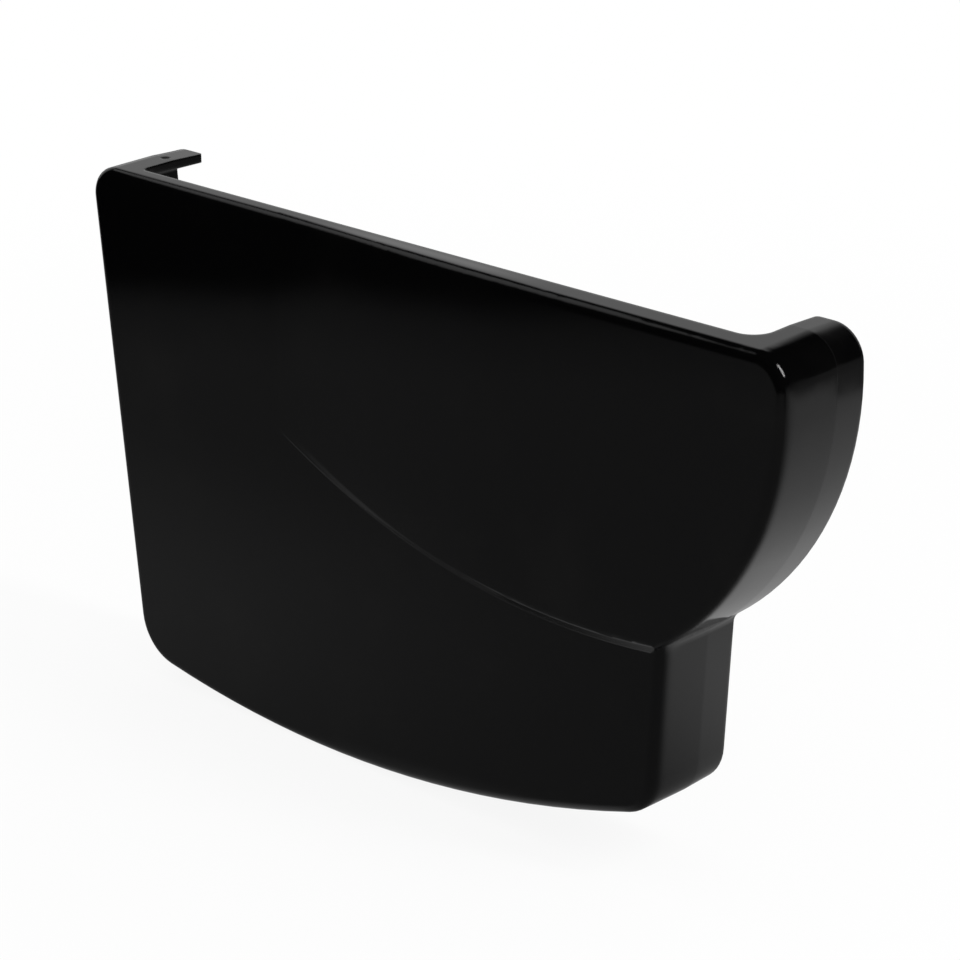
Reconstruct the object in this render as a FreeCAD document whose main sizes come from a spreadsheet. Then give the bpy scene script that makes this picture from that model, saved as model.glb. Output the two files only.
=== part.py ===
import FreeCAD, Part
import math
import os

import Sketcher

NODE = "gutter_end_cap"

# Driving dimensions, in millimetres and degrees. X runs from the fascia board out to the street, Y along the
# gutter away from the cap, and Z up. In the sketches, reaches run forward and drops run down from the corner
# where the line of the back wall meets the top edge, at the parting line of the mould.
DIMENSIONS = (
    ("cap_drop", 92.2, "top edge down to the underside"),
    ("back_set_in", 9.19, "how far the back wall has come forward at the underside"),
    ("nape_radius", 5.4, "corner of the back wall and the top edge"),
    ("heel_radius", 9.2, "corner of the back wall and the underside"),
    ("belly_reach", 51.75, "lowest point of the curved underside"),
    ("belly_radius", 214.5, "curve of the underside"),
    ("toe_radius", 7.9, "corner of the underside and the plinth"),
    ("plinth_reach", 125.95, "foot of the plinth, the upright below the bulge"),
    ("plinth_flare", 4.55, "how far the plinth's line has gone forward at the top edge"),
    ("notch_radius", 2.05, "hollow corner of the plinth and the bulge"),
    ("bulge_reach", 97.65, "centre of the bulge"),
    ("bulge_drop", 8.55, "centre of the bulge below the top edge"),
    ("bulge_radius", 51.9, "curve of the bulge"),
    ("brow_radius", 5.55, "corner of the bulge and the top edge"),
    ("plate", 3.3, "thickness of the end plate"),
    ("wall", 2.8, "thickness of the flange at its rim"),
    ("socket_depth", 13.7, "stop face to the rim"),
    ("parting_depth", 7.3, "stop face to the parting line"),
    ("front_draft", 1.5, "draft of the flange in front of the parting line"),
    ("rear_draft", 1.3, "draft of the flange behind the parting line"),
    ("nape_inside", 2.6, "nape corner inside the socket, under the back lip"),
    ("heel_inside", 3.6, "heel corner inside the socket"),
    ("toe_inside", 1.4, "toe corner inside the socket"),
    ("brow_inside", 2.5, "brow corner inside the socket"),
    ("face_rounding", 1.5, "edge of the face, all round"),
    ("back_lip", 1.6, "thickness of the back lip at the parting line"),
    ("back_overhang", 7.1, "length of the back lip inside the back wall"),
    ("back_cove", 1.2, "corner of the back lip and the plate"),
    ("front_overhang", 3.2, "length of the front lip inside the brow corner"),
    ("front_cove", 3.7, "corner of the front lip and the plate"),
    ("lip_corner", 0.7, "free corner of each lip at the rim"),
    ("panel_raise", 1.4, "height of the raised panel on the face"),
    ("panel_sink", 0.1, "depth at which the panel runs out under the face"),
    ("panel_root", 0.8, "stop face to the panel's root inside the plate"),
    ("ramp_run", 72.0, "length of the ramp up to the panel's full height"),
    ("ramp_lead", 7.0, "end of the ramp, forward of the bulge's centre"),
    ("crease_radius", 130.6, "curve of the crease below the panel"),
    ("crease_setback", 18.7, "centre of the crease, behind the notch corner"),
    ("crease_slant", 53.0, "lean of the crease's step"),
    ("crease_rounding", 1.4, "upper edge of the crease's step"),
    ("crease_hollow", 0.9, "foot of the crease's step"),
    ("overrun", 6.0, "how far a cut runs past the material"),
)

# Sizes that follow from the sheet, as expressions on its cells.
SOCKET_INSET = "(sizes.wall + (sizes.socket_depth - sizes.parting_depth) * tan(sizes.rear_draft * 1deg))"
PANEL_INSET = "((sizes.parting_depth + sizes.panel_root) * tan(sizes.front_draft * 1deg))"
CAP_WIDTH = "(sizes.bulge_reach + sizes.bulge_radius)"
PANEL_HEIGHT = "(sizes.plate + sizes.panel_raise)"
PANEL_FOOT = "(sizes.plate - sizes.panel_sink)"
RAMP_END = "(sizes.bulge_reach + sizes.ramp_lead)"
RAMP_START = "(sizes.bulge_reach + sizes.ramp_lead - sizes.ramp_run)"
BACK_LEAN = "atan(sizes.back_set_in / sizes.cap_drop)"
NAPE_REACH = f"(1 + sin({BACK_LEAN})) / cos({BACK_LEAN})"
BACK_FLAT = f"(sizes.back_overhang - sizes.nape_inside * {NAPE_REACH})"
PLINTH_LEAN = "atan(sizes.plinth_flare / sizes.cap_drop)"
BELLY_RISE = "(sizes.belly_radius - sizes.cap_drop)"

# The notch corner, where the plinth's line cuts the bulge: out from the bulge's centre, then down the line.
NOTCH_OFFSET = (f"((sizes.plinth_reach - sizes.bulge_reach) * cos({PLINTH_LEAN})"
                f" + (sizes.cap_drop - sizes.bulge_drop) * sin({PLINTH_LEAN}))")
NOTCH_HALF = f"sqrt(sizes.bulge_radius ^ 2 - {NOTCH_OFFSET} ^ 2)"
NOTCH_REACH = f"(sizes.bulge_reach + {NOTCH_OFFSET} * cos({PLINTH_LEAN}) - {NOTCH_HALF} * sin({PLINTH_LEAN}))"
NOTCH_DROP = f"(sizes.bulge_drop + {NOTCH_OFFSET} * sin({PLINTH_LEAN}) + {NOTCH_HALF} * cos({PLINTH_LEAN}))"

# The crease turns about a centre above the cap and runs through the notch corner.
CREASE_REACH = f"({NOTCH_REACH} - sizes.crease_setback)"
CREASE_RISE = f"(sqrt(sizes.crease_radius ^ 2 - sizes.crease_setback ^ 2) - {NOTCH_DROP})"
CREASE_SLOPE = "tan(sizes.crease_slant * 1deg)"

OUTER_CORNERS = {
    "heel": "sizes.heel_radius",
    "toe": "sizes.toe_radius",
    "notch": "sizes.notch_radius",
    "brow": "sizes.brow_radius",
}
INNER_CORNERS = {
    "heel": "sizes.heel_inside",
    "toe": "sizes.toe_inside",
    "notch": "(sizes.notch_radius + " + SOCKET_INSET + ")",
    "brow": "sizes.brow_inside",
}

# How close an edge lies to where it is looked for.
TOUCH = 1e-4


def fill_sheet(doc):
    """Put each driving dimension in a cell of its own, under its own name."""
    sheet = doc.addObject("Spreadsheet::Sheet", "sizes")
    for row, (name, value, meaning) in enumerate(DIMENSIONS, start=1):
        sheet.set("A%d" % row, meaning)
        sheet.set("B%d" % row, str(value))
        sheet.setAlias("B%d" % row, name)
    doc.recompute()
    return sheet


class Profile:
    """A sketch drawn as chains of lines and arcs, whose dimensions are bound to the sheet.

    A piece of a chain is held as its index and the codes of its two ends, in the order of drawing.
    """

    ORIGIN = (-1, 1)
    LEVEL_AXIS = -1
    CENTRE = 3

    def __init__(self, body, name, role, sheet):
        self.sheet = sheet
        self.sketch = body.newObject("Sketcher::SketchObject", name)
        plane = next(item for item in body.Origin.OriginFeatures if item.Role == role)
        self.sketch.AttachmentSupport = [(plane, "")]
        self.sketch.MapMode = "FlatFace"

    def number(self, text):
        return float(self.sheet.evalExpression(text))

    def shift(self, axis, text):
        """Move the sketch off its plane's origin."""
        self.sketch.setExpression(".AttachmentOffset.Base." + axis, text)

    def line(self, start, end):
        segment = Part.LineSegment(FreeCAD.Vector(*start, 0), FreeCAD.Vector(*end, 0))
        return self.sketch.addGeometry(segment, False), 1, 2

    def arc(self, centre, start, end, clockwise=False):
        """An arc from one point to another round its centre."""
        first, last = (end, start) if clockwise else (start, end)
        angles = [math.atan2(point[1] - centre[1], point[0] - centre[0]) for point in (first, last)]
        if angles[1] < angles[0]:
            angles[1] += 2 * math.pi
        circle = Part.Circle(FreeCAD.Vector(*centre, 0), FreeCAD.Vector(0, 0, 1), math.dist(centre, start))
        index = self.sketch.addGeometry(Part.ArcOfCircle(circle, *angles), False)
        return (index, 2, 1) if clockwise else (index, 1, 2)

    def constrain(self, *values):
        return self.sketch.addConstraint(Sketcher.Constraint(*values))

    def size(self, text, kind, *places):
        """A dimension that follows an expression."""
        index = self.constrain(kind, *places, self.number(text))
        self.sketch.setExpression("Constraints[%d]" % index, text)

    def across(self, text, start, end):
        self.size(text, "DistanceX", *start, *end)

    def up(self, text, start, end):
        self.size(text, "DistanceY", *start, *end)

    def radius(self, text, arc):
        self.size(text, "Radius", arc[0])

    def smooth(self, *chain):
        for before, after in zip(chain, chain[1:]):
            self.constrain("Tangent", before[0], before[2], after[0], after[1])

    def corners(self, *chain):
        for before, after in zip(chain, chain[1:]):
            self.constrain("Coincident", before[0], before[2], after[0], after[1])

    def level(self, *lines):
        for line in lines:
            self.constrain("Horizontal", line[0])

    def upright(self, *lines):
        for line in lines:
            self.constrain("Vertical", line[0])

    def run_through(self, line, *guides):
        """Lead a line through guide points, each given across and down from the origin."""
        for across_text, down_text in guides:
            point = Part.Point(FreeCAD.Vector(self.number(across_text), -self.number(down_text), 0))
            guide = (self.sketch.addGeometry(point, True), 1)
            self.across(across_text, self.ORIGIN, guide)
            self.up(down_text, guide, self.ORIGIN)
            self.constrain("PointOnObject", *guide, line[0])


def towards(start, goal, distance):
    """The point at a distance from the start, on the way to the goal."""
    share = distance / math.dist(start, goal)
    return start[0] + share * (goal[0] - start[0]), start[1] + share * (goal[1] - start[1])


def foot(point, direction, centre):
    """The foot of the perpendicular from a centre to a line."""
    along = (centre[0] - point[0]) * direction[0] + (centre[1] - point[1]) * direction[1]
    return point[0] + along * direction[0], point[1] + along * direction[1]


def corner_centre(point, direction, offset, centre, reach, last=False):
    """The place at an offset left of a line and at a reach from a centre, first or last along the line."""
    base = (point[0] - offset * direction[1], point[1] + offset * direction[0])
    near = foot(base, direction, centre)
    half = math.sqrt(reach ** 2 - math.dist(near, centre) ** 2) * (1 if last else -1)
    return near[0] + half * direction[0], near[1] + half * direction[1]


def draw_channel(profile, inset_text, corners):
    """The gutter's section from the back wall round to the brow, set in by an inset, with these corner radii.

    It gives back the chain's first piece, the back wall, its last, the brow, and the brow's upper end.
    """
    size = profile.sheet
    inset = profile.number(inset_text)
    heel_radius, toe_radius, notch_radius, brow_radius = (profile.number(text) for text in corners.values())
    back_lean, plinth_lean = (math.radians(profile.number(text)) for text in (BACK_LEAN, PLINTH_LEAN))
    down = (math.sin(back_lean), -math.cos(back_lean))
    up = (math.sin(plinth_lean), math.cos(plinth_lean))
    back_top = (inset / math.cos(back_lean), 0.0)
    plinth_foot = (size.plinth_reach - inset / math.cos(plinth_lean), -size.cap_drop)
    brow_level = (0.0, -inset)

    belly = (size.belly_reach, size.belly_radius - size.cap_drop)
    belly_radius = size.belly_radius - inset
    bulge = (size.bulge_reach, -size.bulge_drop)
    bulge_radius = size.bulge_radius - inset
    heel = corner_centre(back_top, down, heel_radius, belly, belly_radius - heel_radius, last=True)
    toe = corner_centre(plinth_foot, up, toe_radius, belly, belly_radius - toe_radius)
    notch = corner_centre(plinth_foot, up, -notch_radius, bulge, bulge_radius + notch_radius)
    brow = corner_centre(brow_level, (-1, 0), brow_radius, bulge, bulge_radius - brow_radius)

    heel_start = foot(back_top, down, heel)
    heel_end = towards(belly, heel, belly_radius)
    toe_start = towards(belly, toe, belly_radius)
    toe_end = foot(plinth_foot, up, toe)
    notch_start = foot(plinth_foot, up, notch)
    notch_end = towards(bulge, notch, bulge_radius)
    brow_start = towards(bulge, brow, bulge_radius)
    brow_end = (brow[0], -inset)

    back_wall = profile.line(towards(back_top, heel_start, size.back_lip), heel_start)
    heel_arc = profile.arc(heel, heel_start, heel_end)
    belly_arc = profile.arc(belly, heel_end, toe_start)
    toe_arc = profile.arc(toe, toe_start, toe_end)
    plinth_wall = profile.line(toe_end, notch_start)
    notch_arc = profile.arc(notch, notch_start, notch_end, clockwise=True)
    bulge_arc = profile.arc(bulge, notch_end, brow_start)
    brow_arc = profile.arc(brow, brow_start, brow_end)
    profile.smooth(back_wall, heel_arc, belly_arc, toe_arc, plinth_wall, notch_arc, bulge_arc, brow_arc)

    for name, arc in (("heel", heel_arc), ("toe", toe_arc), ("notch", notch_arc), ("brow", brow_arc)):
        profile.radius(corners[name], arc)
    for name, arc in (("belly", belly_arc), ("bulge", bulge_arc)):
        profile.radius("sizes.%s_radius - %s" % (name, inset_text), arc)
        profile.across("sizes.%s_reach" % name, profile.ORIGIN, (arc[0], profile.CENTRE))
    profile.up(BELLY_RISE, profile.ORIGIN, (belly_arc[0], profile.CENTRE))
    profile.up("sizes.bulge_drop", (bulge_arc[0], profile.CENTRE), profile.ORIGIN)

    back_shift = f"{inset_text} / cos({BACK_LEAN})"
    plinth_shift = f"{inset_text} / cos({PLINTH_LEAN})"
    profile.run_through(back_wall, (back_shift, "0"), ("sizes.back_set_in + " + back_shift, "sizes.cap_drop"))
    profile.run_through(plinth_wall, ("sizes.plinth_reach + sizes.plinth_flare - " + plinth_shift, "0"),
                        ("sizes.plinth_reach - " + plinth_shift, "sizes.cap_drop"))
    return back_wall, brow_arc, brow_end


def draw_outline(body, sheet):
    """The outside of the cap at its parting line, closed by the top edge and the nape behind it."""
    profile = Profile(body, "outline", "XZ_Plane", sheet)
    profile.shift("z", "-sizes.parting_depth")
    back_wall, brow_arc, brow_end = draw_channel(profile, "0", OUTER_CORNERS)
    lean = math.radians(profile.number(BACK_LEAN))
    nape_reach = sheet.nape_radius * (1 + math.sin(lean)) / math.cos(lean)
    nape = (nape_reach, -sheet.nape_radius)
    nape_start = (nape_reach, 0.0)
    nape_end = foot((0.0, 0.0), (math.sin(lean), -math.cos(lean)), nape)
    top_edge = profile.line(brow_end, nape_start)
    nape_arc = profile.arc(nape, nape_start, nape_end)
    profile.smooth(brow_arc, top_edge, nape_arc, back_wall)
    profile.constrain("PointOnObject", top_edge[0], top_edge[1], profile.LEVEL_AXIS)
    profile.level(top_edge)
    profile.radius("sizes.nape_radius", nape_arc)
    return profile.sketch


def draw_socket(body, sheet):
    """The space for the gutter, open at the top between the two lips."""
    profile = Profile(body, "socket_outline", "XZ_Plane", sheet)
    back_wall, brow_arc, brow_end = draw_channel(profile, SOCKET_INSET, INNER_CORNERS)
    inset = profile.number(SOCKET_INSET)
    lean = math.radians(profile.number(BACK_LEAN))
    back_top = (inset / math.cos(lean), 0.0)
    nape_drop = sheet.back_lip + sheet.nape_inside
    nape = (back_top[0] + nape_drop * math.tan(lean) + sheet.nape_inside / math.cos(lean), -nape_drop)
    nape_start = (nape[0], -sheet.back_lip)
    nape_end = foot(back_top, (math.sin(lean), -math.cos(lean)), nape)
    back_reach = nape[0] + profile.number(BACK_FLAT)
    front_reach = brow_end[0] - sheet.front_overhang
    points = (brow_end, (front_reach, -inset), (front_reach, sheet.overrun),
              (back_reach, sheet.overrun), (back_reach, -sheet.back_lip), nape_start)
    lines = [profile.line(start, end) for start, end in zip(points, points[1:])]
    front_under, front_edge, opening, back_edge, back_under = lines
    nape_arc = profile.arc(nape, nape_start, nape_end)
    profile.smooth(brow_arc, front_under)
    profile.corners(*lines)
    profile.smooth(back_under, nape_arc, back_wall)
    profile.level(front_under, opening, back_under)
    profile.upright(front_edge, back_edge)
    profile.radius("sizes.nape_inside", nape_arc)
    profile.up(SOCKET_INSET, (front_under[0], 1), profile.ORIGIN)
    profile.across("sizes.front_overhang", (front_under[0], 2), (front_under[0], 1))
    profile.up("sizes.overrun", profile.ORIGIN, (opening[0], 1))
    profile.across(BACK_FLAT, (back_under[0], 2), (back_under[0], 1))
    profile.up("sizes.back_lip", (back_under[0], 1), profile.ORIGIN)
    return profile.sketch, front_reach, back_reach


def draw_panel(body, sheet):
    """The raised panel at its root inside the plate: the bulge, the brow and the top edge, closed behind."""
    profile = Profile(body, "panel_outline", "XZ_Plane", sheet)
    profile.shift("z", "sizes.panel_root")
    inset = profile.number(PANEL_INSET)
    bulge = (sheet.bulge_reach, -sheet.bulge_drop)
    radius = sheet.bulge_radius - inset
    brow_gap = sheet.bulge_radius - sheet.brow_radius
    brow = corner_centre((0.0, 0.0), (-1, 0), sheet.brow_radius, bulge, brow_gap)
    brow_start = towards(bulge, brow, radius)
    left = profile.number(RAMP_START) - sheet.overrun
    low = -sheet.bulge_drop - radius
    bulge_arc = profile.arc(bulge, (bulge[0], low), brow_start)
    brow_arc = profile.arc(brow, brow_start, (brow[0], -inset))
    top_edge = profile.line((brow[0], -inset), (left, -inset))
    left_side = profile.line((left, -inset), (left, low))
    low_side = profile.line((left, low), (bulge[0], low))
    profile.smooth(low_side, bulge_arc, brow_arc, top_edge)
    profile.corners(top_edge, left_side, low_side)
    profile.level(top_edge, low_side)
    profile.upright(left_side)
    profile.radius("sizes.bulge_radius - " + PANEL_INSET, bulge_arc)
    profile.radius("sizes.brow_radius - " + PANEL_INSET, brow_arc)
    profile.across("sizes.bulge_reach", profile.ORIGIN, (bulge_arc[0], profile.CENTRE))
    profile.up("sizes.bulge_drop", (bulge_arc[0], profile.CENTRE), profile.ORIGIN)
    profile.up(PANEL_INSET, (top_edge[0], 1), profile.ORIGIN)
    profile.across(RAMP_START + " - sizes.overrun", profile.ORIGIN, (left_side[0], 1))
    return profile.sketch


def draw_ramp(body, sheet):
    """What is cut away in front of the panel, in plan: sunk level, S-shaped ramp, raised level."""
    profile = Profile(body, "ramp_plan", "XY_Plane", sheet)
    start = (profile.number(RAMP_START), -profile.number(PANEL_FOOT))
    end = (profile.number(RAMP_END), -profile.number(PANEL_HEIGHT))
    left = start[0] - 2 * sheet.overrun
    right = profile.number(CAP_WIDTH) + sheet.overrun
    front = end[1] - sheet.overrun
    run = end[0] - start[0]
    rise = start[1] - end[1]
    radius = (run ** 2 + rise ** 2) / (4 * rise)
    middle = ((start[0] + end[0]) / 2, (start[1] + end[1]) / 2)
    low = profile.line((left, start[1]), start)
    hollow = profile.arc((start[0], start[1] - radius), start, middle, clockwise=True)
    crown = profile.arc((end[0], end[1] + radius), middle, end)
    high = profile.line(end, (right, end[1]))
    right_side = profile.line((right, end[1]), (right, front))
    front_side = profile.line((right, front), (left, front))
    left_side = profile.line((left, front), (left, start[1]))
    profile.smooth(low, hollow, crown, high)
    profile.constrain("Equal", hollow[0], crown[0])
    profile.corners(high, right_side, front_side, left_side, low)
    profile.level(low, high, front_side)
    profile.upright(right_side, left_side)
    profile.across("2 * sizes.overrun", (low[0], 1), (low[0], 2))
    profile.across(RAMP_START, profile.ORIGIN, (low[0], 2))
    profile.across(RAMP_END, profile.ORIGIN, (high[0], 1))
    profile.across(CAP_WIDTH + " + sizes.overrun", profile.ORIGIN, (high[0], 2))
    profile.up(PANEL_FOOT, (low[0], 2), profile.ORIGIN)
    profile.up(PANEL_HEIGHT, (high[0], 1), profile.ORIGIN)
    profile.up("sizes.overrun", (front_side[0], 1), (high[0], 1))
    return profile.sketch


def draw_crease(body, sheet):
    """What is turned away below the panel, as a section through the crease's axis: a slanting step."""
    profile = Profile(body, "crease_section", "XY_Plane", sheet)
    profile.shift("x", CREASE_REACH)
    profile.shift("z", CREASE_RISE)
    slant = math.radians(sheet.crease_slant)
    down_step = (math.sin(slant), math.cos(slant))
    crown_radius = sheet.crease_rounding
    hollow_radius = sheet.crease_hollow
    top = -profile.number(PANEL_HEIGHT)
    bottom = -profile.number(PANEL_FOOT)
    halfway = (sheet.crease_radius, -sheet.plate - sheet.panel_raise / 2)

    def beside_step(offset, level):
        along = (level - halfway[1] - offset * down_step[0]) / down_step[1]
        return halfway[0] + along * down_step[0] - offset * down_step[1], level

    crown_centre = beside_step(crown_radius, top + crown_radius)
    hollow_centre = beside_step(-hollow_radius, bottom - hollow_radius)
    crown_end = (crown_centre[0], top)
    hollow_start = (hollow_centre[0], bottom)
    step_start = foot(halfway, down_step, hollow_centre)
    step_end = foot(halfway, down_step, crown_centre)
    inner = crown_end[0] - sheet.overrun
    outer_text = "sizes.crease_radius + " + CAP_WIDTH
    outer = profile.number(outer_text)
    front = top - sheet.overrun
    rear = sheet.overrun

    hollow = profile.arc(hollow_centre, hollow_start, step_start)
    step = profile.line(step_start, step_end)
    crown = profile.arc(crown_centre, step_end, crown_end, clockwise=True)
    points = (crown_end, (inner, top), (inner, front), (outer, front), (outer, rear),
              (hollow_start[0], rear), hollow_start)
    sides = [profile.line(start, end) for start, end in zip(points, points[1:])]
    high, inner_side, front_side, outer_side, rear_side, foot_side = sides
    profile.smooth(hollow, step, crown, high)
    profile.corners(*sides, hollow)
    profile.level(high, front_side, rear_side)
    profile.upright(inner_side, outer_side, foot_side)
    profile.constrain("Vertical", hollow[0], profile.CENTRE, hollow[0], hollow[1])
    profile.radius("sizes.crease_hollow", hollow)
    profile.radius("sizes.crease_rounding", crown)
    profile.run_through(step, ("sizes.crease_radius", "sizes.plate + sizes.panel_raise / 2"),
                        (f"sizes.crease_radius - sizes.panel_raise / 2 * {CREASE_SLOPE}", PANEL_HEIGHT))
    profile.across("sizes.overrun", (high[0], 2), (high[0], 1))
    profile.across(outer_text, profile.ORIGIN, (outer_side[0], 1))
    profile.up(PANEL_HEIGHT, (high[0], 1), profile.ORIGIN)
    profile.up(PANEL_FOOT, (foot_side[0], 2), profile.ORIGIN)
    profile.up("sizes.overrun", (front_side[0], 1), (high[0], 1))
    profile.up("sizes.overrun", profile.ORIGIN, (rear_side[0], 1))
    return profile.sketch


def new_body(doc, name):
    """A body placed with the part's origin in the middle of the stop face, which the gutter's end meets."""
    body = doc.addObject("PartDesign::Body", name)
    body.setExpression(".Placement.Base.x", f"-{CAP_WIDTH} / 2")
    body.setExpression(".Placement.Base.z", "sizes.cap_drop / 2")
    return body


def new_feature(body, kind, name, **expressions):
    """A feature of a body, with its sizes bound to the sheet."""
    feature = body.newObject("PartDesign::" + kind, name)
    for property_name, text in expressions.items():
        feature.setExpression(property_name, text)
    return feature


def edges_where(shape, lies_there):
    """The names of the edges whose every point lies where it is looked for."""
    return ["Edge%d" % index for index, edge in enumerate(shape.Edges, start=1)
            if all(lies_there(point) for point in edge.discretize(5))]


def round_edges(body, base, name, radius_text, lies_there):
    """A rounding along edges of the base, which runs on round whatever is smooth with them."""
    rounding = new_feature(body, "Fillet", name, Radius=radius_text)
    rounding.Base = (base, edges_where(base.Shape, lies_there))
    body.Document.recompute()
    return rounding


def on_arc(centre, radius, level):
    """A test for points on a circle about an axis along Y, at a level."""
    def lies_there(point):
        return abs(math.dist((point.x, point.z), centre) - radius) < TOUCH and abs(point.y - level) < TOUCH

    return lies_there


def on_upright(reach, depth):
    """A test for points of the upright line at a reach and a depth behind the stop face."""
    def lies_there(point):
        return math.dist((point.x, point.y), (reach, depth)) < TOUCH

    return lies_there


def on_bulge(sheet, height):
    """A test for points of the bulge's edge, at a height in front of the stop face."""
    draft = (sheet.parting_depth + height) * math.tan(math.radians(sheet.front_draft))
    return on_arc((sheet.bulge_reach, -sheet.bulge_drop), sheet.bulge_radius - draft, -height)


def build_shell(doc, sheet):
    """The plate and the flange, with the socket, the lips and their coves."""
    body = new_body(doc, "shell")
    outline = draw_outline(body, sheet)
    flange = new_feature(body, "Pad", "flange", Length="sizes.parting_depth + sizes.plate",
                         Length2="sizes.socket_depth - sizes.parting_depth",
                         TaperAngle="-sizes.front_draft", TaperAngle2="-sizes.rear_draft")
    flange.Profile = outline
    flange.SideType = "Two sides"
    doc.recompute()
    rounded = round_edges(body, flange, "face_edge", "sizes.face_rounding", on_bulge(sheet, sheet.plate))
    sketch, front_reach, back_reach = draw_socket(body, sheet)
    socket = new_feature(body, "Pocket", "socket", Length="sizes.socket_depth + sizes.overrun")
    socket.Profile = sketch
    doc.recompute()
    if socket.Shape.Volume >= rounded.Shape.Volume:
        raise RuntimeError("the socket cuts nothing")
    latest = socket
    for name, reach in (("front", front_reach), ("back", back_reach)):
        cove = "%s_cove" % name
        latest = round_edges(body, latest, cove, "sizes." + cove, on_upright(reach, 0.0))
        corner = on_upright(reach, sheet.socket_depth)
        latest = round_edges(body, latest, name + "_lip_corner", "sizes.lip_corner", corner)
    body.Tip = latest
    return body


def build_panel(doc, sheet):
    """The raised panel, with the ramp by which it runs out into the face and the crease below it."""
    body = new_body(doc, "panel")
    sketch = draw_panel(body, sheet)
    blank = new_feature(body, "Pad", "panel_blank", TaperAngle="-sizes.front_draft",
                        Length=PANEL_HEIGHT + " - sizes.panel_root + sizes.panel_raise")
    blank.Profile = sketch
    doc.recompute()
    sketch = draw_ramp(body, sheet)
    ramp = new_feature(body, "Pocket", "ramp")
    ramp.Profile = sketch
    ramp.SideType = "Symmetric"
    ramp.Type = "ThroughAll"
    doc.recompute()
    height = sheet.plate + sheet.panel_raise
    rounded = round_edges(body, ramp, "panel_edge", "sizes.face_rounding", on_bulge(sheet, height))
    sketch = draw_crease(body, sheet)
    crease = new_feature(body, "Groove", "crease")
    crease.Profile = sketch
    crease.ReferenceAxis = (sketch, ["V_Axis"])
    crease.Angle = 360
    doc.recompute()
    if not crease.Shape.Volume < rounded.Shape.Volume < ramp.Shape.Volume < blank.Shape.Volume:
        raise RuntimeError("a cut of the panel removes nothing")
    body.Tip = crease
    return body


def check(doc, cap):
    """Stop unless every object of the document came out well and the cap is one solid."""
    doc.recompute()
    for item in doc.Objects:
        if "Invalid" in item.State or "Error" in item.State:
            raise RuntimeError("%s failed: %s" % (item.Name, item.State))
    if cap.Shape.isNull() or not cap.Shape.isValid() or len(cap.Shape.Solids) != 1:
        raise RuntimeError("%s is not one valid solid" % cap.Label)


def main():
    doc = FreeCAD.newDocument(NODE)
    sheet = fill_sheet(doc)
    cap = doc.addObject("Part::Fuse", NODE)
    cap.Label = NODE
    cap.Base = build_shell(doc, sheet)
    cap.Tool = build_panel(doc, sheet)
    cap.Refine = True
    check(doc, cap)
    os.makedirs("parts", exist_ok=True)
    cap.Shape.exportStep("parts/%s.step" % cap.Label)


main()
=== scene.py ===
"""A gutter end cap in glossy black moulded plastic, on a pale studio floor."""

import math

import bmesh
import bpy
from bpy.props import FloatProperty, FloatVectorProperty, PointerProperty
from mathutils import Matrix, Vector


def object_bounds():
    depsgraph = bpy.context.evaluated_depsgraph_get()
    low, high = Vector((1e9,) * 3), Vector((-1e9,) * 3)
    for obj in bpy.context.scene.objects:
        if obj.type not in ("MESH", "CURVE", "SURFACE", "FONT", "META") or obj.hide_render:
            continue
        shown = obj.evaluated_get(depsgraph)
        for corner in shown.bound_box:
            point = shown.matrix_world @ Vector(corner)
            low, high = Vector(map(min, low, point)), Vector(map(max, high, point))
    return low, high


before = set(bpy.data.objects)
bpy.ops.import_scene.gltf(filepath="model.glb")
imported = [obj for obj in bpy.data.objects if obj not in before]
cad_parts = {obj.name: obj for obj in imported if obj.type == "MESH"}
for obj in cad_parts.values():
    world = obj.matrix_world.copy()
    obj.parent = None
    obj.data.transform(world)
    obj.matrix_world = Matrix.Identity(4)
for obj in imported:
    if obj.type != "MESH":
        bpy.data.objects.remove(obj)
CAD_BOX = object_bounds()

bl_info = {
    "name": "Gutter End Cap",
    "version": (1, 0, 0),
    "blender": (4, 5, 0),
    "location": "View3D > Sidebar > Gutter Cap",
    "description": "Finishes a moulded gutter end cap and sets it on a studio floor",
    "category": "3D View",
}

CAP_NODE = "gutter_end_cap"
FLOOR_LEVEL = CAD_BOX[0].z
FLOOR_SPAN = 6.0


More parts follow.
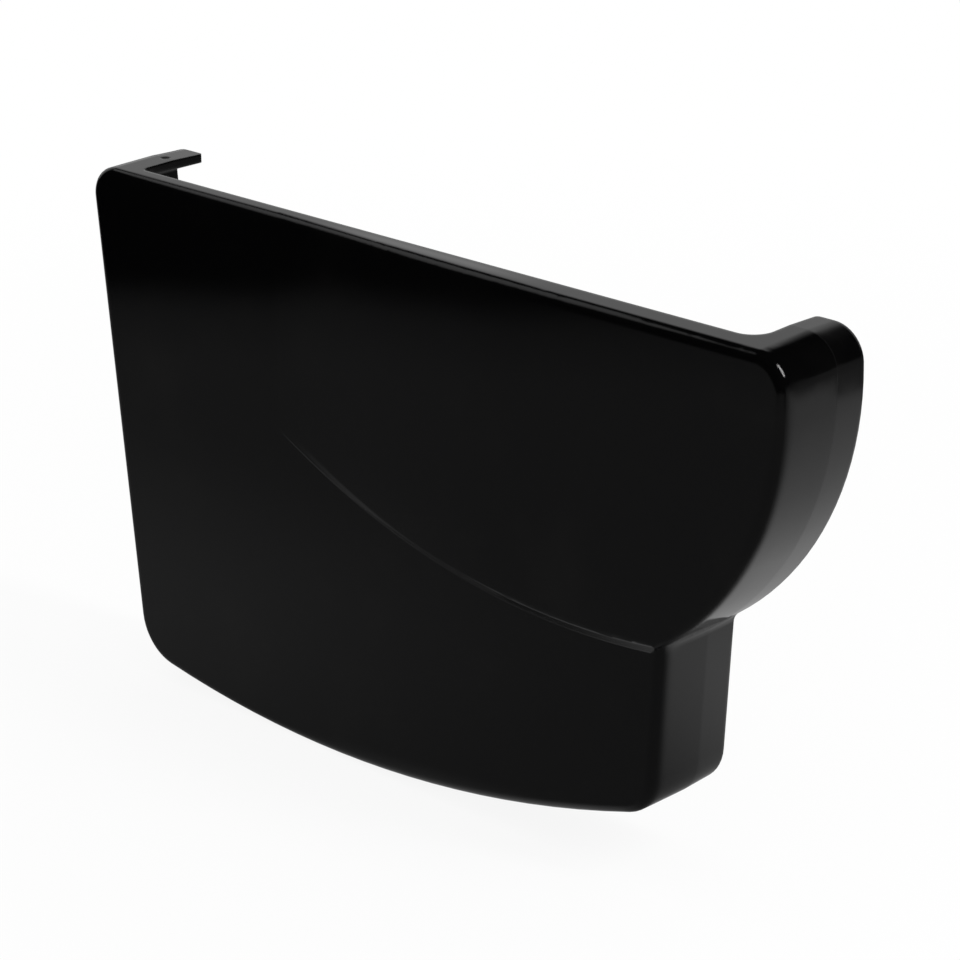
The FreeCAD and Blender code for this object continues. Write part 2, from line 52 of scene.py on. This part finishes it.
class PlasticFinish(bpy.types.PropertyGroup):
    """The moulded plastic of the cap."""

    colour: FloatVectorProperty(
        name="Colour", description="Body colour of the plastic", subtype="COLOR",
        size=4, min=0, max=1, default=(0.0012, 0.0012, 0.0013, 1))
    bloom_colour: FloatVectorProperty(
        name="Bloom", description="Colour of the faint handling bloom", subtype="COLOR",
        size=4, min=0, max=1, default=(0.0028, 0.0027, 0.0026, 1))
    roughness: FloatProperty(
        name="Roughness", description="Roughness of the polished mould face",
        subtype="FACTOR", min=0, max=1, default=0.07)
    smear: FloatProperty(
        name="Smear", description="How much rougher the plastic is where it was handled",
        subtype="FACTOR", min=0, max=1, default=0.04)
    refraction: FloatProperty(
        name="Refraction", description="Refractive index of the plastic",
        min=1, max=3, default=1.5)
    ripple_size: FloatProperty(
        name="Ripple Size", description="Width of the soft ripples of the moulded skin",
        unit="LENGTH", subtype="DISTANCE", min=0.0001, default=0.0045)
    ripple_depth: FloatProperty(
        name="Ripple Depth", description="Depth of the soft ripples of the moulded skin",
        unit="LENGTH", subtype="DISTANCE", min=0, default=0.000006)
    grain_size: FloatProperty(
        name="Grain Size", description="Width of the fine grain of the moulded skin",
        unit="LENGTH", subtype="DISTANCE", min=0.00001, default=0.00035)
    edge_softness: FloatProperty(
        name="Edge Softness", description="Radius over which the polished edges are worn soft",
        unit="LENGTH", subtype="DISTANCE", min=0, default=0.0007)
    crease_softness: FloatProperty(
        name="Crease Softness", description="Radius over which the crease's edges are worn soft",
        unit="LENGTH", subtype="DISTANCE", min=0, default=0.00028)
    flange_softness: FloatProperty(
        name="Flange Softness", description="Radius over which the flange's front edge is worn soft",
        unit="LENGTH", subtype="DISTANCE", min=0, default=0.0032)
    parting_line: FloatProperty(
        name="Parting Line", description="Distance of the mould's parting line from the stop face",
        unit="LENGTH", subtype="DISTANCE", default=0.0073)
    parting_width: FloatProperty(
        name="Parting Width", description="Width of the fine line that the mould leaves",
        unit="LENGTH", subtype="DISTANCE", min=0.00001, default=0.00016)
    crease_centre: FloatVectorProperty(
        name="Crease Centre", description="Point on the face that the crease turns about",
        subtype="TRANSLATION", unit="LENGTH", size=3, default=(0.034525, 0.0, 0.124704))
    crease_radius: FloatProperty(
        name="Crease Radius", description="Curve of the crease",
        unit="LENGTH", subtype="DISTANCE", min=0.001, default=0.1306)
    crease_width: FloatProperty(
        name="Crease Easing", description="Width over which the crease is eased where it runs out",
        unit="LENGTH", subtype="DISTANCE", min=0.0001, default=0.0012)
    crease_depth: FloatProperty(
        name="Crease Depth", description="Depth of the easing where the crease runs out",
        unit="LENGTH", subtype="DISTANCE", min=0, default=0.00026)
    witness_place: FloatVectorProperty(
        name="Witness Mark", description="Place of the small flash scar on the back lip",
        subtype="TRANSLATION", unit="LENGTH", size=3, default=(-0.0668, 0.0072, 0.0461))
    witness_radius: FloatProperty(
        name="Witness Radius", description="Radius of the small flash scar",
        unit="LENGTH", subtype="DISTANCE", min=0.0001, default=0.0011)


class StudioSetting(bpy.types.PropertyGroup):
    """The floor, the light and the camera."""

    floor_colour: FloatVectorProperty(
        name="Floor", description="Colour of the floor", subtype="COLOR",
        size=4, min=0, max=1, default=(0.92, 0.92, 0.92, 1))
    shadow_depth: FloatProperty(
        name="Shadow", description="How much of the floor's own light and shade shows",
        subtype="FACTOR", min=0, max=1, default=0.10)
    # Level of the painted shade that gloss rays see on the floor before the cap.
    front_painted_shade: FloatProperty(
        name="Front Floor",
        description="Brightness of the floor before the cap as the plastic mirrors it",
        min=0, default=0.112)
    fill: FloatProperty(
        name="Fill", description="Strength of the even light of the room", min=0, default=0.75)
    # Level of the painted reflection of a backdrop that only gloss rays see.
    backdrop: FloatProperty(
        name="Backdrop", description="Brightness of the backdrop as the plastic mirrors it",
        min=0, default=0.52)
    key_power: FloatProperty(
        name="Key Light", description="Power of the tall soft box on the right",
        unit="POWER", min=0, default=2.6)
    side_power: FloatProperty(
        name="Side Light", description="Power of the soft box on the left",
        unit="POWER", min=0, default=0.17)
    azimuth: FloatProperty(
        name="Azimuth", description="Turn of the camera round the cap",
        unit="ROTATION", subtype="ANGLE", default=math.radians(43.16))
    elevation: FloatProperty(
        name="Elevation", description="Height of the camera above the horizon",
        unit="ROTATION", subtype="ANGLE", default=math.radians(21.24))
    distance: FloatProperty(
        name="Distance", description="Distance of the camera from its target",
        unit="LENGTH", subtype="DISTANCE", min=0.01, default=0.4616)
    target: FloatVectorProperty(
        name="Target", description="Point that the camera looks at", subtype="TRANSLATION",
        unit="LENGTH", size=3, default=(0.0054, 0.0083, 0.0063))
    lens: FloatProperty(
        name="Lens", description="Focal length in millimetres", min=1, default=108.75)


class Wire:
    """A value in a shader; sums and products of wires add Math nodes."""

    def __init__(self, board, socket):
        self.board = board
        self.socket = socket

    def _math(self, operation, first, second):
        return self.board.add("ShaderNodeMath", {"operation": operation}, {0: first, 1: second})

    def __add__(self, other):
        return self._math("ADD", self, other)

    __radd__ = __add__

    def __sub__(self, other):
        return self._math("SUBTRACT", self, other)

    def __rsub__(self, other):
        return self._math("SUBTRACT", other, self)

    def __mul__(self, other):
        return self._math("MULTIPLY", self, other)

    __rmul__ = __mul__

    def __truediv__(self, other):
        return self._math("DIVIDE", self, other)

    def __rtruediv__(self, other):
        return self._math("DIVIDE", other, self)

    def __neg__(self):
        return self._math("MULTIPLY", self, -1.0)

    def __abs__(self):
        return self._math("ABSOLUTE", self, 0.0)


class Board:
    """The node tree of a material or of the world."""

    EDGE_SAMPLES = 6

    def __init__(self, owner):
        owner.use_nodes = True
        self.tree = owner.node_tree
        self.tree.nodes.clear()

    def add(self, kind, settings=None, sockets=None, output=0):
        """A node of a kind: its settings first, then the values or wires of its sockets.

        Gives one of its outputs, or nothing where it has none.
        """
        node = self.tree.nodes.new(kind)
        for name, value in (settings or {}).items():
            if name == "stops":
                self._set_stops(node.color_ramp, value)
            else:
                setattr(node, name, value)
        for name, value in (sockets or {}).items():
            socket = self._find(node.inputs, name)
            if isinstance(value, Wire):
                self.tree.links.new(value.socket, socket)
            else:
                socket.default_value = value
        return Wire(self, self._find(node.outputs, output)) if node.outputs else None

    @staticmethod
    def _find(sockets, name):
        if isinstance(name, int):
            return sockets[name]
        return next(socket for socket in sockets if name in (socket.identifier, socket.name))

    @staticmethod
    def _set_stops(ramp, stops):
        while len(ramp.elements) < len(stops):
            ramp.elements.new(1.0)
        for element, (place, level) in zip(ramp.elements, stops):
            element.position = place
            element.color = (level, level, level, 1)

    def part(self, vector, axis):
        return self.add("ShaderNodeSeparateXYZ", {}, {"Vector": vector}, axis)

    def vector(self, operation, first, second, output="Value"):
        return self.add("ShaderNodeVectorMath", {"operation": operation},
                        {0: first, 1: second}, output)

    def dot(self, first, second):
        return self.vector("DOT_PRODUCT", first, second)

    def apart(self, first, second):
        return self.vector("DISTANCE", first, second)

    def ease(self, value, start, end):
        """0 before the start, 1 past the end and a smooth rise between them."""
        return self.add("ShaderNodeMapRange", {"interpolation_type": "SMOOTHSTEP"},
                        {"Value": value, "From Min": start, "From Max": end})

    def fade(self, value, start, end):
        """1 before the start, 0 past the end and a smooth fall between them."""
        return 1 - self.ease(value, start, end)

    def ramp(self, value, *stops):
        return self.add("ShaderNodeValToRGB", {"stops": stops}, {"Fac": value}, "Color")

    def noise(self, vector, width, detail, roughness=0.5):
        return self.add("ShaderNodeTexNoise", {}, {
            "Vector": vector, "Scale": 1 / width, "Detail": detail, "Roughness": roughness})

    def blend(self, factor, first, second):
        """A mix of two colours."""
        return self.add("ShaderNodeMix", {"data_type": "RGBA"}, {
            "Factor_Float": factor, "A_Color": first, "B_Color": second}, "Result_Color")

    def lean(self, factor, first, second):
        """A mix of two directions."""
        return self.add("ShaderNodeMix", {"data_type": "VECTOR"}, {
            "Factor_Float": factor, "A_Vector": first, "B_Vector": second}, "Result_Vector")

    def worn(self, radius):
        """The normal of a surface whose edges are worn to a radius."""
        return self.add("ShaderNodeBevel", {"samples": self.EDGE_SAMPLES}, {"Radius": radius})

    def bump(self, height, depth, strength, normal):
        return self.add("ShaderNodeBump", {}, {
            "Strength": strength, "Distance": depth, "Height": height, "Normal": normal})

    def rays(self):
        """Two masks: rays that show a thing itself, straight or through glass, and gloss rays."""
        camera_ray = self.add("ShaderNodeLightPath", output="Is Camera Ray")
        gloss_ray = self.add("ShaderNodeLightPath", output="Is Glossy Ray")
        glass_ray = self.add("ShaderNodeLightPath", output="Is Transmission Ray")
        return camera_ray + glass_ray, gloss_ray


# The plastic. A pair is where a change starts and where it ends, in metres in the cap's frame.
RIPPLE_DETAIL = 2
GRAIN_DETAIL = 3
HANDLING_WIDTH = 0.022
HANDLING_DETAIL = 5
HANDLING_ROUGHNESS = 0.62
OUTER_SKIN = (0.0, 0.004)
SCAR_CORE = 0.3
SCAR_DEPTH = 0.0003
FACE_PLANE = (1, 0, 1)
EASING_STARTS = (-0.030, -0.002)
EASING_ENDS = (0.012, 0.034)
EASING_FRONT = (0.0, 0.003)
CREASE_REACH = (0.003, 0.005)
FLANGE_FRONT = (-0.001, 0.003)
# These pairs are levels of the handling noise and parts of the unit normal.
BLOOM_LEVELS = (0.50, 0.78)
FLANGE_UPRIGHT = (0.2, 0.6)
FLANGE_RIGHT = (0.3, 0.7)
FLANGE_UPWARD = (0.1, 0.4)
# What each mark adds to the roughness, and how strongly the bumps show.
GRAIN_DULLNESS = 0.02
REAR_DULLNESS = 0.05
LINE_DULLNESS = 0.2
SCAR_DULLNESS = 0.6
GRAIN_SHARE = 0.05
SKIN_STRENGTH = 0.6
STEP_STRENGTH = 1.0
SCAR_STRENGTH = 0.5


def make_plastic(finish):
    """Polished black plastic with soft ripples, fine grain, handling bloom and mould marks."""
    material = bpy.data.materials.new("moulded_black_plastic")
    board = Board(material)
    place = board.add("ShaderNodeTexCoord", output="Object")
    normal = board.add("ShaderNodeTexCoord", output="Normal")
    along = board.part(place, "X")
    depth = board.part(place, "Y")

    ripples = board.noise(place, finish.ripple_size, RIPPLE_DETAIL)
    grain = board.noise(place, finish.grain_size, GRAIN_DETAIL)
    handling = board.noise(place, HANDLING_WIDTH, HANDLING_DETAIL, HANDLING_ROUGHNESS)
    bloom = board.ease(handling, *BLOOM_LEVELS)

    # The mould leaves a fine dull line, a duller skin behind it and a scar on the back lip.
    outside = board.ease(board.dot(place, normal), *OUTER_SKIN)
    parting, width = finish.parting_line, finish.parting_width
    line = board.fade(abs(depth - parting), 0.0, width) * outside
    behind_parting = board.ease(depth, parting, parting + width) * outside
    radius = finish.witness_radius
    scar = board.fade(board.apart(place, finish.witness_place), SCAR_CORE * radius, radius)

    # The crease is eased where it runs out into the face.
    on_face = board.vector("MULTIPLY", place, FACE_PLANE, "Vector")
    below_crease = board.apart(on_face, finish.crease_centre) - finish.crease_radius
    half_width = finish.crease_width / 2
    run_out = board.ease(along, *EASING_STARTS) * board.fade(along, *EASING_ENDS)
    eased = board.fade(below_crease, -half_width, half_width) * run_out
    eased = eased * board.ease(-depth, *EASING_FRONT)

    # Edges are worn least at the crease, and most on the front of the bulge and the plinth.
    at_crease = board.fade(abs(below_crease), *CREASE_REACH)
    on_flange = board.fade(abs(board.part(normal, "Y")), *FLANGE_UPRIGHT)
    on_flange = on_flange * board.ease(board.part(normal, "X"), *FLANGE_RIGHT)
    on_flange = on_flange * board.fade(board.part(normal, "Z"), *FLANGE_UPWARD)
    on_flange = on_flange * board.fade(depth, *FLANGE_FRONT)
    softened = board.lean(at_crease, board.worn(finish.edge_softness),
                          board.worn(finish.crease_softness))
    softened = board.lean(on_flange, softened, board.worn(finish.flange_softness))

    skin = board.bump(ripples + GRAIN_SHARE * grain, finish.ripple_depth, SKIN_STRENGTH, softened)
    step = board.bump(eased, finish.crease_depth, STEP_STRENGTH, skin)
    relief = board.bump(-scar, SCAR_DEPTH, SCAR_STRENGTH, step)
    colour = board.blend(bloom, finish.colour, finish.bloom_colour)
    roughness = (finish.roughness + finish.smear * bloom + (grain - 0.5) * GRAIN_DULLNESS
                 + REAR_DULLNESS * behind_parting + LINE_DULLNESS * line + SCAR_DULLNESS * scar)
    plastic = board.add("ShaderNodeBsdfPrincipled", {}, {
        "Base Color": colour, "Roughness": roughness, "Normal": relief, "IOR": finish.refraction})
    board.add("ShaderNodeOutputMaterial", {}, {"Surface": plastic})
    return material


# The floor. A pair is where a change starts and where it ends, in metres on the floor.
SHADE_REACH = (0.14, 0.42)
# Painted shade that gloss rays see before the cap, and painted light in one corner, along the cap's
# foot and behind it.
PAINTED_SHADE_HEADING = (0.565, 0.825, 0.0)
PAINTED_SHADE_FRONT = (-0.274, -0.240)
PAINTED_SHADE_RIM = (-0.25, -0.20)
PAINTED_SHADE_RIM_LEVEL = 0.72
PAINTED_SHADE_NEAR = (-0.31, -0.24)
PAINTED_SHADE_RIGHT = (0.28, 0.42)
CORNER_LEFT = (-0.11, 0.02)
CORNER_BACK = (-0.10, -0.02)
CORNER_GAIN = 0.75
STRIP_SLANT = 0.2
STRIP_FRONT = (-0.013, 0.0)
STRIP_RIGHT = (0.03, 0.05)
STRIP_GAIN = 2.8
REAR_START = (0.0, 0.07)
REAR_END = (0.19, 0.23)
REAR_LOSS = 0.75
REAR_SPAN = 0.4
# Stops of the painted reflection of the floor behind the cap: share of its span from left to right,
# and brightness.
REAR_LEVELS = ((0.575, 0.45), (0.6625, 0.66), (0.775, 0.5), (1.0, 0.38))


def make_floor_material(setting):
    """A pale floor: white with the cap's shade to the camera, and painted light and shade of its own
    to gloss rays.
    """
    material = bpy.data.materials.new("studio_floor")
    board = Board(material)
    seen_ray, gloss_ray = board.rays()
    place = board.add("ShaderNodeNewGeometry", output="Position")
    across = board.part(place, "X")
    back = board.part(place, "Y")

    paper = board.add("ShaderNodeBsdfDiffuse", {}, {"Color": setting.floor_colour})
    white = board.add("ShaderNodeEmission", {}, {"Strength": 1.0})
    near = board.fade(board.apart(place, (0, 0, FLOOR_LEVEL)), *SHADE_REACH)
    seen = board.add("ShaderNodeMixShader", {}, {
        0: near * setting.shadow_depth, 1: white, 2: paper})
    lit = board.add("ShaderNodeMixShader", {}, {0: seen_ray, 1: paper, 2: seen})

    # Gloss rays see painted shade, a dim patch before the cap, with painted light in one corner and
    # along the cap's foot.
    outward = board.dot(place, PAINTED_SHADE_HEADING)
    rim = PAINTED_SHADE_RIM_LEVEL + (1 - PAINTED_SHADE_RIM_LEVEL) * board.ease(outward, *PAINTED_SHADE_RIM)
    painted_reflection = board.ease(outward, *PAINTED_SHADE_FRONT) * rim
    painted_reflection = painted_reflection * board.ease(back, *PAINTED_SHADE_NEAR) * board.fade(across, *PAINTED_SHADE_RIGHT)
    corner = board.fade(across, *CORNER_LEFT) * board.ease(back, *CORNER_BACK)
    strip = board.ease(back + STRIP_SLANT * across, *STRIP_FRONT)
    strip = strip * board.fade(across, *STRIP_RIGHT)
    front = setting.front_painted_shade * (1 + CORNER_GAIN * corner) * (1 + STRIP_GAIN * strip) * painted_reflection

    # Behind the cap they see a painted reflection of a bright floor that falls off far back.
    behind = board.ramp(across / REAR_SPAN + 0.5, *REAR_LEVELS)
    behind = behind * (1 - REAR_LOSS * board.ease(back, *REAR_END))
    rear = board.ease(back, *REAR_START)
    level = front * (1 - rear) + behind * rear
    # The painted light and shade glow as emission and are seen by gloss rays only.
    mirrored = board.add("ShaderNodeEmission", {}, {"Color": level, "Strength": 1.0})
    surface = board.add("ShaderNodeMixShader", {}, {0: gloss_ray, 1: lit, 2: mirrored})
    board.add("ShaderNodeOutputMaterial", {}, {"Surface": surface})
    return material


# The painted reflection of a backdrop, seen by gloss rays only: its heading from the cap, and the
# parts of a direction at its side and top edges.
PAINTED_BACKDROP_HEADING = (-0.684, 0.7295, 0.0)
PAINTED_BACKDROP_SIDES = (0.45, 0.65)
PAINTED_BACKDROP_TOP = (0.42, 0.62)


def make_world(setting):
    """White to the camera, an even fill light, and for gloss rays a painted reflection of a backdrop
    behind the cap.
    """
    world = bpy.data.worlds.new("studio")
    board = Board(world)
    seen_ray, gloss_ray = board.rays()
    direction = board.add("ShaderNodeTexCoord", output="Generated")
    painted_reflection = board.ease(board.dot(direction, PAINTED_BACKDROP_HEADING), *PAINTED_BACKDROP_SIDES)
    painted_reflection = painted_reflection * board.fade(board.part(direction, "Z"), *PAINTED_BACKDROP_TOP) * setting.backdrop
    # Camera rays see white; gloss rays see the painted reflection and black elsewhere, a painted
    # dark room; other rays get the even fill.
    strength = seen_ray + gloss_ray * painted_reflection + (1 - seen_ray - gloss_ray) * setting.fill
    light = board.add("ShaderNodeBackground", {}, {"Color": (1, 1, 1, 1), "Strength": strength})
    board.add("ShaderNodeOutputWorld", {}, {"Surface": light})
    return world


def add_floor():
    """A level square under the cap."""
    mesh = bpy.data.meshes.new("studio_floor")
    shape = bmesh.new()
    half = FLOOR_SPAN / 2
    corners = [shape.verts.new((x * half, y * half, 0))
               for x, y in ((-1, -1), (1, -1), (1, 1), (-1, 1))]
    shape.faces.new(corners)
    shape.to_mesh(mesh)
    shape.free()
    floor = bpy.data.objects.new("studio_floor", mesh)
    floor.location = (0, 0, FLOOR_LEVEL)
    bpy.context.scene.collection.objects.link(floor)
    return floor


def add_soft_light(name, location, target, size, power):
    """A rectangular soft box that shines at a target."""
    lamp = bpy.data.lights.new(name, "AREA")
    lamp.shape = "RECTANGLE"
    lamp.size, lamp.size_y = size
    lamp.energy = power
    light = bpy.data.objects.new(name, lamp)
    light.location = location
    aim = Vector(target) - Vector(location)
    light.rotation_euler = aim.to_track_quat("-Z", "Y").to_euler()
    bpy.context.scene.collection.objects.link(light)


def add_camera(setting):
    """A camera that looks at the target, level with the horizon."""
    turn, rise = setting.azimuth, setting.elevation
    level = math.cos(rise)
    back = Vector((math.sin(turn) * level, -math.cos(turn) * level, math.sin(rise)))
    lens = bpy.data.cameras.new("studio_camera")
    lens.lens = setting.lens
    lens.sensor_width = 36
    lens.clip_start, lens.clip_end = 0.01, 20
    camera = bpy.data.objects.new("studio_camera", lens)
    camera.location = Vector(setting.target) + setting.distance * back
    camera.rotation_euler = (math.pi / 2 - rise, 0, turn)
    bpy.context.scene.collection.objects.link(camera)
    return camera


class GUTTERCAP_OT_finish_cap(bpy.types.Operator):
    """Give the moulded cap its polished black plastic"""

    bl_idname = "gutter_cap.finish_cap"
    bl_label = "Finish Cap"

    def execute(self, context):
        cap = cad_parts.get(CAP_NODE)
        if cap is None or not cap.material_slots:
            raise RuntimeError("the cap or its material slot is missing")
        plastic = make_plastic(context.scene.gutter_cap_plastic)
        for material_slot in cap.material_slots:
            material_slot.material = plastic
        return {"FINISHED"}


class GUTTERCAP_OT_set_stage(bpy.types.Operator):
    """Lay the floor, hang the light and place the camera"""

    bl_idname = "gutter_cap.set_stage"
    bl_label = "Set Stage"

    def execute(self, context):
        scene = context.scene
        setting = scene.gutter_cap_studio
        floor = add_floor()
        floor.data.materials.append(make_floor_material(setting))
        scene.world = make_world(setting)
        add_soft_light("key_light", location=(0.56, 0.12, 0.53), target=(0.07, 0, 0.04),
                       size=(0.12, 0.42), power=setting.key_power)
        add_soft_light("side_light", location=(-0.45, -0.07, 0.53), target=(0, 0, 0.04),
                       size=(0.45, 0.22), power=setting.side_power)
        scene.camera = add_camera(setting)
        scene.view_settings.view_transform = "Standard"
        return {"FINISHED"}


class GUTTERCAP_PT_sidebar(bpy.types.Panel):
    """The cap's finish and its stage, in the sidebar of the 3D view"""

    bl_idname = "GUTTERCAP_PT_sidebar"
    bl_label = "Gutter End Cap"
    bl_space_type = "VIEW_3D"
    bl_region_type = "UI"
    bl_category = "Gutter Cap"

    def draw(self, context):
        for owner, operator in ((context.scene.gutter_cap_plastic, GUTTERCAP_OT_finish_cap),
                                (context.scene.gutter_cap_studio, GUTTERCAP_OT_set_stage)):
            box = self.layout.box()
            for name in type(owner).__annotations__:
                box.prop(owner, name)
            box.operator(operator.bl_idname)


CLASSES = (
    PlasticFinish,
    StudioSetting,
    GUTTERCAP_OT_finish_cap,
    GUTTERCAP_OT_set_stage,
    GUTTERCAP_PT_sidebar,
)


def register():
    for cls in CLASSES:
        bpy.utils.register_class(cls)
    bpy.types.Scene.gutter_cap_plastic = PointerProperty(type=PlasticFinish)
    bpy.types.Scene.gutter_cap_studio = PointerProperty(type=StudioSetting)


def unregister():
    del bpy.types.Scene.gutter_cap_studio
    del bpy.types.Scene.gutter_cap_plastic
    for cls in reversed(CLASSES):
        bpy.utils.unregister_class(cls)


def main():
    register()
    bpy.ops.gutter_cap.finish_cap()
    bpy.ops.gutter_cap.set_stage()


if __name__ == "__main__":
    main()
